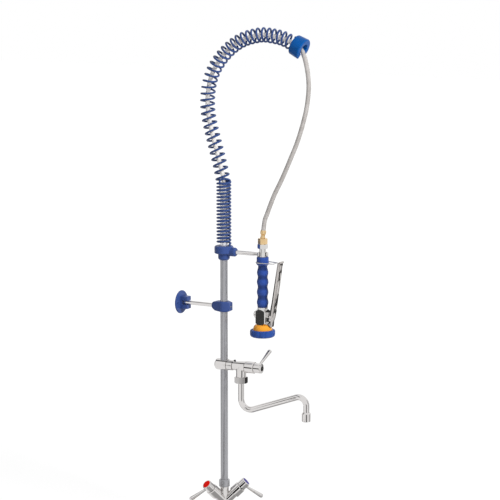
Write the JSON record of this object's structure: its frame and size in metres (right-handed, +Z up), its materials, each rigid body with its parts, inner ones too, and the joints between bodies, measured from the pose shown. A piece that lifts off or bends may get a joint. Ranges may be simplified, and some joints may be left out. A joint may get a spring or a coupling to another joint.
{
  "type": "pre rinse faucet",
  "caption": "Deck-mounted pre-rinse faucet: mixer with lever valves, riser with a swing spout, wall bracket, and a spring-carried hose with a spray gun in a hook.",
  "frame": {"origin": "on the axis of the riser and the mounting shank, at the deck plane under the base seal", "axes": "+Z up along the riser, -Y towards the user and the spray gun, +Y towards the wall, +X to the user's right"},
  "size_m": [0.1346, 0.3942, 1.37],
  "materials": {
    "chrome_brass": "polished chrome on brass",
    "riser_steel": "satin stainless steel",
    "plain_steel": "plain machined steel",
    "bare_brass": "turned brass",
    "dark_steel": "black oxide",
    "seal_rubber": "black nitrile rubber",
    "clamp_plastic": "blue glossy moulding",
    "spring_coat": "blue coated spring steel",
    "ring_plastic": "bright blue moulding",
    "grip_plastic": "blue ribbed grip",
    "bumper_rubber": "blue soft rubber",
    "cone_plastic": "orange moulding",
    "red_plastic": "red button",
    "blue_plastic": "blue button",
    "grey_plastic": "grey moulding",
    "hose_braid": "rubber hose in a stainless braid",
    "lever_steel": "pressed stainless sheet"
  },
  "bodies": {
    "root": {"mixer_body": "chrome_brass", "base_seal": "seal_rubber", "mounting_shank": "bare_brass", "hot_cartridge": "bare_brass", "cold_cartridge": "bare_brass", "hot_bonnet": "chrome_brass", "cold_bonnet": "chrome_brass", "riser_nut": "riser_steel", "riser_lower": "riser_steel", "riser_upper": "riser_steel", "tee_body": "chrome_brass", "union_nut": "chrome_brass", "spout_valve_body": "chrome_brass", "spout_lock_screw": "dark_steel", "spout_cartridge": "bare_brass", "spout_bonnet": "chrome_brass", "spout_nut": "chrome_brass", "hook_clamp": "clamp_plastic", "hook_clamp_screw": "plain_steel", "hook_arm": "chrome_brass", "spring": "spring_coat", "spring_end_ring": "ring_plastic", "hose": "hose_braid", "hose_top_nut": "bare_brass", "hose_ferrule": "bare_brass", "hose_nut": "bare_brass", "swivel_nut": "chrome_brass"},
    "hot_handle": {"hot_stem": "plain_steel", "hot_hub": "chrome_brass", "hot_lever": "chrome_brass", "hot_index": "red_plastic"},
    "cold_handle": {"cold_stem": "plain_steel", "cold_hub": "chrome_brass", "cold_lever": "chrome_brass", "cold_index": "blue_plastic"},
    "spout_handle": {"spout_stem": "plain_steel", "spout_hub": "chrome_brass", "spout_lever": "chrome_brass", "spout_cap": "chrome_brass"},
    "swing_spout": {"spout_tube": "chrome_brass", "aerator_housing": "chrome_brass", "aerator_insert": "grey_plastic"},
    "wall_bracket": {"wall_clamp": "clamp_plastic", "wall_clamp_screw": "plain_steel", "wall_rod": "chrome_brass"},
    "wall_plate": {"wall_flange": "clamp_plastic", "wall_pivot_pin": "plain_steel"},
    "gun": {"gun_tube": "riser_steel", "gun_grip": "grip_plastic", "gun_body": "chrome_brass", "gun_plug": "chrome_brass", "gun_gland": "chrome_brass", "valve_spring": "plain_steel", "nozzle_cone": "cone_plastic", "spray_face": "grey_plastic", "bumper_ring": "bumper_rubber"},
    "squeeze_lever": {"gun_lever": "lever_steel", "gun_lever_pin": "plain_steel"},
    "push_stem": {"gun_stem": "plain_steel"},
    "lock_ring": {"hold_ring": "plain_steel"}
  },
  "joints": [
    {"name": "hot_valve_turn", "type": "hinge", "parent": "root", "child": "hot_handle", "pos_m": [0, 0, 0.037], "axis": [-0.6529, 0.2934, 0.6983], "range_deg": [0, 90]},
    {"name": "cold_valve_turn", "type": "hinge", "parent": "root", "child": "cold_handle", "pos_m": [0, 0, 0.037], "axis": [-0.2934, 0.6529, -0.6983], "range_deg": [0, 90]},
    {"name": "spout_valve_turn", "type": "hinge", "parent": "root", "child": "spout_handle", "pos_m": [0, -0.068, 0.415], "axis": [0, -1, 0], "range_deg": [0, 90]},
    {"name": "spout_swing", "type": "hinge", "parent": "root", "child": "swing_spout", "pos_m": [0, -0.052, 0.36], "axis": [0, 0, 1], "range_deg": [-150, 150]},
    {"name": "bracket_slide", "type": "slide", "parent": "root", "child": "wall_bracket", "axis": [0, 0, 1], "range_m": [-0.1, 0.1]},
    {"name": "wall_plate_turn", "type": "hinge", "parent": "wall_bracket", "child": "wall_plate", "pos_m": [0, 0.116, 0.573], "axis": [0, 0, 1], "range_deg": [-60, 60]},
    {"name": "gun_swivel", "type": "hinge", "parent": "root", "child": "gun", "pos_m": [0, -0.117, 0.73], "axis": [0, 0, 1], "continuous": true},
    {"name": "lever_squeeze", "type": "hinge", "parent": "gun", "child": "squeeze_lever", "pos_m": [0, -0.142, 0.537], "axis": [-1, 0, 0], "range_deg": [0, 7], "stiffness_Nm_per_rad": 2, "springref_deg": -1.72},
    {"name": "stem_push", "type": "slide", "parent": "gun", "child": "push_stem", "axis": [0, 1, 0], "range_m": [0, 0.0031], "deforming": ["valve_spring"]},
    {"name": "hold_ring_lift", "type": "hinge", "parent": "gun", "child": "lock_ring", "pos_m": [0, -0.0991, 0.7004], "axis": [-1, 0, 0], "range_deg": [0, 13.4]}
  ],
  "couplings": [
    {"joint": "stem_push", "follows": "lever_squeeze", "m_per_rad": 0.0246},
    {"joint": "hold_ring_lift", "follows": "lever_squeeze", "ratio": 1.9}
  ]
}
